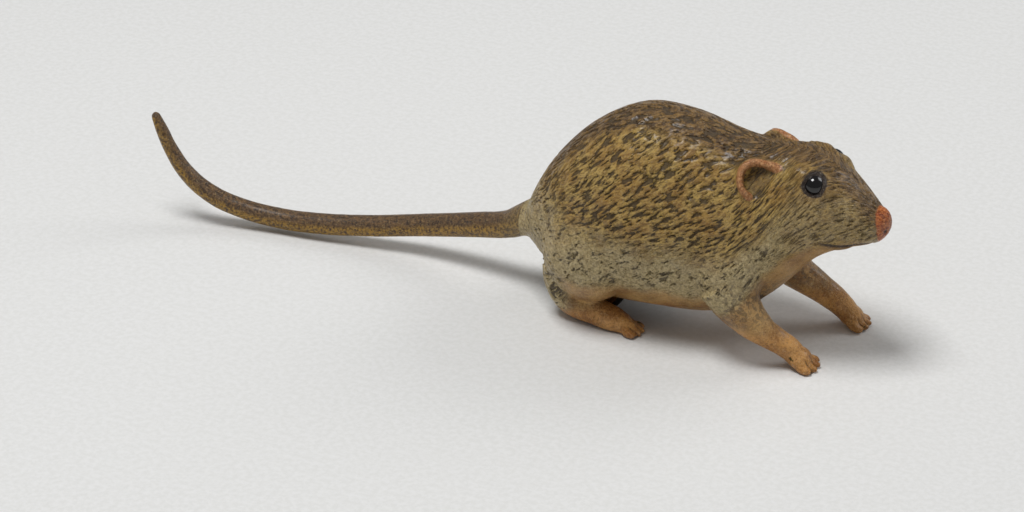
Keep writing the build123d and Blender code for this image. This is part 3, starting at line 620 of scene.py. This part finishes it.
    def toe_lines(self):
        """1 in the grooves between the toes."""
        lines = None
        for side, paw in ((1, NEAR_PAW), (1, FAR_PAW), (-1, HIND_PAW), (1, HIND_PAW)):
            middle, gap, wrist = paw[1:]
            place = (self.y - side * middle) / gap
            between = place.whole_left().ease(0.36, 0.47) * place.size().ease(1.6, 1.4)
            here = between * self.x.ease(wrist, wrist + 0.9) * self.x.ease(wrist + 6, wrist + 5)
            lines = lines.greater(here) if lines else here
        return lines * self.z.ease(3.4, 2.6)

    def nostril(self):
        """1 in the pit of each nostril."""
        return self.bench.vector_sum("DISTANCE", self.folded, (75.0, 1.15, 29.7)).ease(0.85, 0.3)


def cut_coat(mouse):
    """Presses the strokes, mouth, nostrils and eye sockets into the skin as real depth."""
    tree = bpy.data.node_groups.new("cut coat", "GeometryNodeTree")
    tree.interface.new_socket("Skin", in_out="INPUT", socket_type="NodeSocketGeometry")
    tree.interface.new_socket("Skin", in_out="OUTPUT", socket_type="NodeSocketGeometry")
    bench = Bench(tree)
    skin = bench.node("NodeGroupInput")
    fur = Fur(bench, bench.node("GeometryNodeInputPosition"))
    normal = bench.node("GeometryNodeInputNormal")
    rim, hollow = fur.ear_rim(), fur.ear_hollow()
    eye = fur.eye_distance()
    plain = rim.ease(1.2, 2.0) * (1 - hollow) * eye.ease(2.8, 3.8) * fur.x.ease(74.2, 72.5)
    swell = fur.swell() * 0.24 * (1 - fur.bare * 0.8)
    for smoother in (fur.flank, fur.spine, fur.head):
        swell = swell * (1 - smoother * 0.5)
    relief = (swell - fur.hollows() * 0.3) * plain * (1 - fur.tail * 0.6)
    relief = relief - fur.mouth() * 0.42 - fur.nostril() * 0.5
    relief = relief - eye.ease(2.9, 2.2) * 0.5 + (eye - 3.1).size().ease(0.7, 0.1) * 0.10
    relief = relief - fur.toe_lines() * 0.22
    relief = relief - hollow * 0.55 * rim.ease(0.7, 1.2)
    scale = {"Vector": normal, "Scale": relief * MM}
    moved = bench.node("ShaderNodeVectorMath", {"operation": "SCALE"}, scale)
    placed = bench.node("GeometryNodeSetPosition", None, {"Geometry": skin, "Offset": moved})
    bench.give(tree.nodes.new("NodeGroupOutput").inputs[0], placed)
    cutter = mouse.modifiers.new("cut coat", "NODES")
    cutter.node_group = tree
    apply_all(mouse)


# ---- Taking the skin apart -----------------------------------------------------------------------
def slice_at(piece, wanted, point, direction):
    """Cuts a line in the faces that satisfy a test, where a plane crosses them."""
    take(piece)
    if pick_faces(piece, wanted):
        bpy.ops.mesh.bisect(plane_co=point, plane_no=direction)
    bpy.ops.object.mode_set(mode="OBJECT")


def lift_off(piece, wanted, name):
    """Separates the faces that satisfy a test as a new piece."""
    take(piece)
    if not pick_faces(piece, wanted):
        raise ValueError("no faces for " + name)
    before = set(bpy.data.objects)
    bpy.ops.mesh.separate(type="SELECTED")
    bpy.ops.object.mode_set(mode="OBJECT")
    made = next(item for item in bpy.data.objects if item not in before)
    made.name = name
    made.data.name = name
    return made


def close_holes(piece):
    """Caps the openings that the cuts left."""
    take(piece)
    bpy.ops.object.mode_set(mode="EDIT")
    bpy.ops.mesh.select_all(action="SELECT")
    bpy.ops.mesh.fill_holes(sides=0)
    bpy.ops.object.mode_set(mode="OBJECT")


def give_wall(piece):
    """Turns a skin into a hollow casting of the shell's thickness."""
    wall = piece.modifiers.new("wall", "SOLIDIFY")
    wall.thickness = WALL * MM
    wall.offset = -1
    wall.use_rim = True
    apply_all(piece)


TAIL_CUT = 0.6  # x of the joint between rump and tail
# Each lower leg: its side, x and z of a point of the cut, the cut's tilt, and the two x and the top between
# which the leg lies.
LEG_CUTS = {
    "hind_leg_left": (1, 11.0, 9.0, (0.25, 0.0, 1.0), 4, 32, 12),
    "hind_leg_right": (-1, 11.0, 9.0, (0.25, 0.0, 1.0), 4, 32, 12),
    "foreleg_left": (1, 54.0, 12.0, (-0.75, 0.0, 1.0), 46, 80, 18),
    "foreleg_right": (-1, 50.5, 11.5, (-0.75, 0.0, 1.0), 44, 80, 18),
}
LEG_INSIDE = 4.2  # the legs lie further than this from the plane of symmetry
WINDOW_MARGIN = 2  # faces this far outside the belly window are cut too


def take_apart(mouse):
    """The skin as separate castings: two halves, four legs and the tail."""
    pieces = {}
    slice_at(mouse, lambda x, y, z: -6 < x < 5, spot(TAIL_CUT, 0, 0), (1, 0, 0))
    pieces["tail"] = lift_off(mouse, lambda x, y, z: x < TAIL_CUT, "tail_casting")
    for name, (side, cut_x, cut_z, tilt, back, front, top) in LEG_CUTS.items():
        normal = Vector(tilt).normalized()

        def on_leg(x, y, z):
            return back < x < front and z < top and y * side > LEG_INSIDE

        def lower(x, y, z):
            return on_leg(x, y, z) and (x - cut_x) * normal.x + (z - cut_z) * normal.z < 0

        slice_at(mouse, on_leg, spot(cut_x, 0, cut_z), normal)
        pieces[name] = lift_off(mouse, lower, name + "_casting")
    # the window in the belly, where the plate sits
    low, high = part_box("belly_plate")
    x0 = measured(low)[0]
    x1, y1, z1 = measured(high)

    def beneath(x, y, z):
        near = WINDOW_MARGIN
        return z < z1 + near and x0 - near < x < x1 + near and abs(y) < y1 + near

    for point, direction in (
        (spot(x0, 0, 0), (1, 0, 0)),
        (spot(x1, 0, 0), (1, 0, 0)),
        (spot(0, y1, 0), (0, 1, 0)),
        (spot(0, -y1, 0), (0, 1, 0)),
        (spot(0, 0, z1), (0, 0, 1)),
    ):
        slice_at(mouse, beneath, point, direction)
    scrap = lift_off(mouse, lambda x, y, z: z < z1 and x0 < x < x1 and abs(y) < y1, "belly_scrap")
    bpy.data.objects.remove(scrap)
    # the two halves
    slice_at(mouse, lambda x, y, z: abs(y) < 2, spot(0, 0, 0), (0, 1, 0))
    pieces["body_shell_left"] = lift_off(mouse, lambda x, y, z: y > 0, "left_half_casting")
    mouse.name = mouse.data.name = "right_half_casting"
    pieces["body_shell_right"] = mouse
    for name, piece in pieces.items():
        if name.startswith("body"):
            give_wall(piece)
        else:
            close_holes(piece)
        take(piece)
        bpy.ops.object.shade_smooth_by_angle(angle=math.radians(CREASE_ANGLE))
    return pieces


# ---- Paints and metals ---------------------------------------------------------------------------
SHADER_SOCKETS = {
    "colour": "Base Color",
    "rough": "Roughness",
    "metal": "Metallic",
    "coat": "Coat Weight",
    "coat_rough": "Coat Roughness",
    "normal": "Normal",
}


def new_finish(name):
    """A new material, with its bench, its shader and the place on the object."""
    material = bpy.data.materials.new(name)
    material.use_nodes = True
    bench = Bench(material.node_tree)
    place = bench.node("ShaderNodeTexCoord", None, None, "Object")
    return material, bench, material.node_tree.nodes["Principled BSDF"], place


def feed(bench, shader, **sockets):
    """Gives the shader's sockets their marks or values."""
    for key, value in sockets.items():
        bench.give(shader.inputs[SHADER_SOCKETS[key]], value)


def bumped(bench, height, depth, under=None):
    """A normal from a height, where a height of 1 is depth in mm; it may lie over another normal."""
    inputs = {"Height": height, "Distance": depth * MM, "Strength": 1.0}
    if under:
        inputs["Normal"] = under
    return bench.node("ShaderNodeBump", None, inputs)


def coat_paint():
    """The painted coat: olive brown brushed over cut fur, grey flanks, buff belly, tan feet, all varnished."""
    material, bench, shader, place = new_finish("painted coat")
    fur = Fur(bench, place)
    cut = fur.hollows()
    where = fur.where
    broad = bench.noise(where, 0.22, 3.0)
    grain = bench.noise(where, 1.7, 4.0, 0.72)
    specks_and_glints = bench.noise(where, 3.4, 3.0, 0.7)
    dabs = fur.strokes(30, 1.2, 0.5, 5.0, 4.0, 0.75)

    gold = bench.mix(dabs.ease(0.38, 0.60), (114, 88, 38), (198, 164, 88))
    gold = bench.mix(broad.ease(0.35, 0.68) * 0.5, gold, (154, 108, 38))
    grey = bench.mix(grain.ease(0.28, 0.72), (136, 116, 74), (220, 200, 150))
    buff = bench.mix((broad * 0.6 + grain * 0.4).ease(0.34, 0.66), (140, 96, 44), (200, 158, 96))
    tan = bench.mix((grain * 0.5 + broad * 0.5).ease(0.36, 0.64), (150, 94, 34), (216, 160, 88))
    ridge = bench.mix(dabs.ease(0.38, 0.62), (66, 42, 16), (140, 106, 54))
    dark = bench.mix(grain.ease(0.35, 0.65), (52, 40, 24), (86, 70, 44))

    height_on_back = fur.z + (fur.wander - 0.5) * 8
    paler = fur.flank.greater(height_on_back.ease(24, 15))
    colour = bench.mix(paler * (1 - fur.rump * 0.5) * (0.9 - fur.head * 0.45), gold, grey)
    colour = bench.mix(fur.rump * height_on_back.ease(31, 20) * 0.65, colour, grey)
    colour = bench.mix(fur.head * (1 - fur.spine) * height_on_back.ease(28, 38) * 0.35, colour, ridge)
    colour = bench.mix(fur.spine * 0.92, colour, ridge)
    colour = bench.mix(fur.belly * 0.95, colour, buff)
    colour = bench.mix(cut.ease(0.25, 0.9) * (0.86 - fur.flank * 0.12), colour, dark)
    stain = bench.noise(where, 1.1, 4.0, 0.65)
    patches = bench.noise(where, 0.28, 1.0).ease(0.42, 0.6)
    smudge = stain.ease(0.56, 0.68) * fur.flank * (1 - fur.foot) * patches
    colour = bench.mix(smudge * 0.85, colour, (48, 36, 26))
    sleeve = (fur.z + (fur.wander - 0.5) * 10).ease(7, 11) * fur.x.ease(46, 49) * fur.z.ease(20, 15)
    colour = bench.mix(sleeve * stain.ease(0.47, 0.56) * 0.6, colour, (84, 68, 46))
    colour = bench.mix(fur.foot * 0.96, colour, tan)
    # painted shade: the grooves between the toes are darkened as if in shadow
    colour = bench.mix(fur.toe_lines() * 0.7, colour, (64, 42, 22))

    nose = (fur.near((76.4, 0, 30.7), (4.2, 3.6, 4.5)) + (grain - 0.5) * 0.2).ease(1.08, 0.98)
    clay = bench.mix(grain.ease(0.35, 0.65), (160, 66, 8), (224, 132, 58))
    lip = fur.near((72.8, 0, 27.6), (3.2, 4.2, 1.5)).ease(1.15, 0.7)
    colour = bench.mix(lip * grain.ease(0.35, 0.55) * 0.75, colour, (206, 192, 162))
    colour = bench.mix(nose, colour, clay)
    colour = bench.mix(fur.nostril() * 0.95, colour, (66, 34, 22))
    colour = bench.mix(fur.mouth() * 0.9, colour, (46, 32, 26))

    distance = fur.ear_rim()
    rim = (distance + (grain - 0.5) * 0.5).ease(1.15, 0.85)
    hollow = fur.ear_hollow()
    salmon = bench.mix(grain.ease(0.35, 0.65), (160, 96, 48), (212, 158, 106))
    shade = bench.mix(grain.ease(0.4, 0.6), (58, 44, 34), (98, 80, 50))
    colour = bench.mix(hollow * grain.ease(0.3, 0.6) * 0.7, colour, shade)
    colour = bench.mix(rim, colour, salmon)

    eye = fur.eye_distance()
    colour = bench.mix((eye + (grain - 0.5) * 0.6).ease(3.1, 2.7), colour, (52, 38, 28))

    edge = fur.foot.greater(rim)
    chip = bench.noise(where, 0.62, 2.0, 0.5).ease(0.70, 0.715) * edge
    colour = bench.mix(chip, colour, (92, 78, 40))
    # painted highlights: small pale glints on the raised fur, where light would catch the varnish
    colour = bench.mix(specks_and_glints.ease(0.58, 0.7) * (1 - cut) * 0.4, colour, (214, 202, 168))
    colour = bench.mix(specks_and_glints.ease(0.42, 0.3) * 0.5, colour, (44, 32, 22))

    fine = bumped(bench, grain * 0.55 + specks_and_glints * 0.45, 0.35)
    strokes = bumped(bench, 1 - cut * 0.65 - dabs * 0.6, 0.42, fine)
    feed(
        bench, shader,
        colour=colour,
        rough=(0.22 + specks_and_glints * 0.25 + cut * 0.25).lesser(0.9),
        metal=chip * 0.7,
        coat=bench.noise(where, 0.4, 2.0).ease(0.4, 0.65) * 0.35,
        coat_rough=0.2,
        normal=strokes,
    )
    return material


def tail_paint():
    """Golden olive below, grey brown above, finely grained."""
    material, bench, shader, place = new_finish("painted tail")
    fur = Fur(bench, place)
    where = fur.where
    grain = bench.noise(where, 1.7, 4.0, 0.72)
    specks_and_glints = bench.noise(where, 3.3, 2.0, 0.7)
    broad = bench.noise(where, 0.35, 3.0)
    facing = bench.node("ShaderNodeNewGeometry", None, None, "Normal")
    up = bench.parts(facing)[2] + (grain - 0.5) * 0.9 + (broad - 0.5) * 0.5
    gold = bench.mix(grain.ease(0.38, 0.62), (70, 42, 4), (184, 140, 44))
    slate = bench.mix(grain.ease(0.36, 0.64), (48, 30, 14), (122, 90, 52))
    colour = bench.mix(up.ease(0.05, 0.5), gold, slate)
    # painted highlights: small pale glints over the grain of the tail
    colour = bench.mix(specks_and_glints.ease(0.58, 0.7) * 0.45, colour, (196, 172, 116))
    colour = bench.mix(specks_and_glints.ease(0.44, 0.32) * 0.6, colour, (38, 25, 12))
    root = (fur.x + (fur.wander - 0.5) * 5).ease(-6, 2)
    olive = bench.mix(grain.ease(0.38, 0.62), (92, 72, 34), (164, 136, 76))
    colour = bench.mix(root * 0.75, colour, olive)
    feed(
        bench, shader,
        colour=colour,
        rough=0.2 + specks_and_glints * 0.3,
        coat=0.2,
        coat_rough=0.3,
        normal=bumped(bench, grain * 0.6 + specks_and_glints * 0.4, 0.6),
    )
    return material


def bead_glass():
    """Black glass with faint dust in the varnish round it."""
    material, bench, shader, place = new_finish("black bead")
    fur = Fur(bench, place)
    dust = bench.noise(fur.where, 5.0, 3.0).ease(0.62, 0.8)
    feed(
        bench, shader,
        colour=bench.mix(dust * 0.12, (8, 6, 6), (70, 60, 52)),
        rough=0.1 + dust * 0.2,
        coat=0.3,
        coat_rough=0.02,
    )
    return material


def worked_metal(name, light, deep, rough, drag=(1.0, 1.0, 1.0)):
    """Brass or steel with drawn lines, tarnish in patches and small dings."""
    material, bench, shader, place = new_finish(name)
    fur = Fur(bench, place)
    tarnish = bench.noise(fur.where, 0.5, 4.0, 0.6)
    lines = bench.noise(bench.vector_sum("MULTIPLY", fur.where, drag), 2.0, 4.0, 0.65)
    dings = bench.noise(fur.where, 2.6, 2.0).ease(0.66, 0.8)
    colour = bench.mix(tarnish.ease(0.35, 0.7), light, deep)
    colour = bench.mix(lines.ease(0.4, 0.7) * 0.3, colour, tuple(c * 0.6 for c in deep))
    feed(
        bench, shader,
        colour=colour,
        rough=rough + tarnish * 0.25 - 0.1 + dings * 0.15,
        metal=1.0,
        normal=bumped(bench, lines * 0.6 - dings, 0.04),
    )
    return material


def tyre_rubber():
    """Black rubber, dusty and finely grained."""
    material, bench, shader, place = new_finish("tyre rubber")
    fur = Fur(bench, place)
    grain = bench.noise(fur.where, 4.0, 4.0, 0.7)
    dust = bench.noise(fur.where, 0.9, 3.0).ease(0.45, 0.7)
    feed(
        bench, shader,
        colour=bench.mix(dust * 0.35, (26, 25, 24), (84, 78, 70)),
        rough=0.72 + grain * 0.2,
        normal=bumped(bench, grain, 0.06),
    )
    return material


# ---- Assembly ------------------------------------------------------------------------------------
def paint(piece, material):
    """Gives a piece one material and no other."""
    piece.data.materials.clear()
    piece.data.materials.append(material)


# Each half of the shell is cast in one with its ear.
CAST_EARS = {"body_shell_left": "ear_left", "body_shell_right": "ear_right"}


def assemble():
    """The castings take the places of the outer nodes; the clockwork's own nodes get their metals."""
    mouse = whole_mouse()
    cut_coat(mouse)
    pieces = take_apart(mouse)
    coat, tail = coat_paint(), tail_paint()
    for name, piece in pieces.items():
        paint(piece, tail if name == "tail" else coat)
        covered = (name, CAST_EARS[name]) if name in CAST_EARS else (name,)
        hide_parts(*covered)
        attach(piece, "mouse")
    nodes = frame["nodes"]
    paint(nodes["belly_plate"], coat)
    glass = bead_glass()
    for name in ("eye_left", "eye_right"):
        paint(nodes[name], glass)
    finishes = {
        "brass": worked_metal("stamped brass", (196, 158, 92), (128, 96, 50), 0.34),
        "steel": worked_metal("turned steel", (170, 170, 168), (110, 108, 104), 0.30, drag=(0.2, 3.0, 0.2)),
        "spring_steel": worked_metal("blued spring steel", (64, 70, 92), (38, 38, 50), 0.28),
        "rubber": tyre_rubber(),
    }
    for part in frame["record"]["subparts"]:
        if part["material_slot"] in finishes:
            paint(nodes[part["node"]], finishes[part["material_slot"]])


# ---- Studio --------------------------------------------------------------------------------------
VIEW_AZIMUTH, VIEW_HEIGHT, VIEW_DISTANCE = 24.0, 30.0, 0.700  # in degrees, degrees and metres
VIEW_MIDDLE = spot(-2.3, 0, 5.4)
FILM_WIDTH = 36
LENS = 3500 / 1024  # focal length in film widths
FLOOR_SIZE = 6  # in metres
ROOM_LIGHT = 0.22


def stand(name, data, place, looking):
    """Sets a camera or lamp up at a place, looking along a direction."""
    holder = bpy.data.objects.new(name, data)
    holder.location = place
    holder.rotation_mode = "QUATERNION"
    holder.rotation_quaternion = looking.to_track_quat("-Z", "Y")
    bpy.context.scene.collection.objects.link(holder)
    return holder


def lamp(name, place, aim, size, power):
    """A square softbox with sides in metres and power in watts."""
    light = bpy.data.lights.new(name, "AREA")
    light.shape = "SQUARE"
    light.size = size
    light.energy = power
    stand(name, light, place, Vector(aim) - Vector(place))


def studio():
    """A sheet of pale paper, the camera, a softbox above and a window behind."""
    clear_selection()
    bpy.ops.mesh.primitive_plane_add(size=FLOOR_SIZE, location=(0, 0, 0))
    floor = bpy.context.object
    floor.name = "floor"
    material, bench, shader, place = new_finish("pale paper")
    fibres = bench.noise(place, 900.0, 3.0, 0.6)
    feed(
        bench, shader,
        colour=bench.mix(fibres.ease(0.3, 0.7), (221, 221, 219), (228, 228, 227)),
        rough=0.95,
        normal=bumped(bench, fibres, 0.05),
    )
    paint(floor, material)

    azimuth, height = math.radians(VIEW_AZIMUTH), math.radians(VIEW_HEIGHT)
    back = Vector((
        math.sin(azimuth) * math.cos(height),
        -math.cos(azimuth) * math.cos(height),
        math.sin(height),
    ))
    camera = bpy.data.cameras.new("camera")
    camera.lens = LENS * FILM_WIDTH
    camera.sensor_width = FILM_WIDTH
    camera.clip_start = 0.01
    camera.clip_end = 20
    bpy.context.scene.camera = stand("camera", camera, VIEW_MIDDLE + back * VIEW_DISTANCE, -back)
    lamp("softbox above", (-0.16, -0.18, 0.95), (0, 0, 0.01), 0.36, 6.7)
    lamp("side window", (0.55, 0.6, 0.6), (0, 0, 0.02), 0.5, 2.4)
    world = bpy.data.worlds.new("room")
    bpy.context.scene.world = world
    world.use_nodes = True
    walls = world.node_tree.nodes["Background"]
    walls.inputs["Color"].default_value = (1, 1, 1, 1)
    walls.inputs["Strength"].default_value = ROOM_LIGHT
    bpy.context.scene.view_settings.view_transform = "Standard"


assemble()
studio()
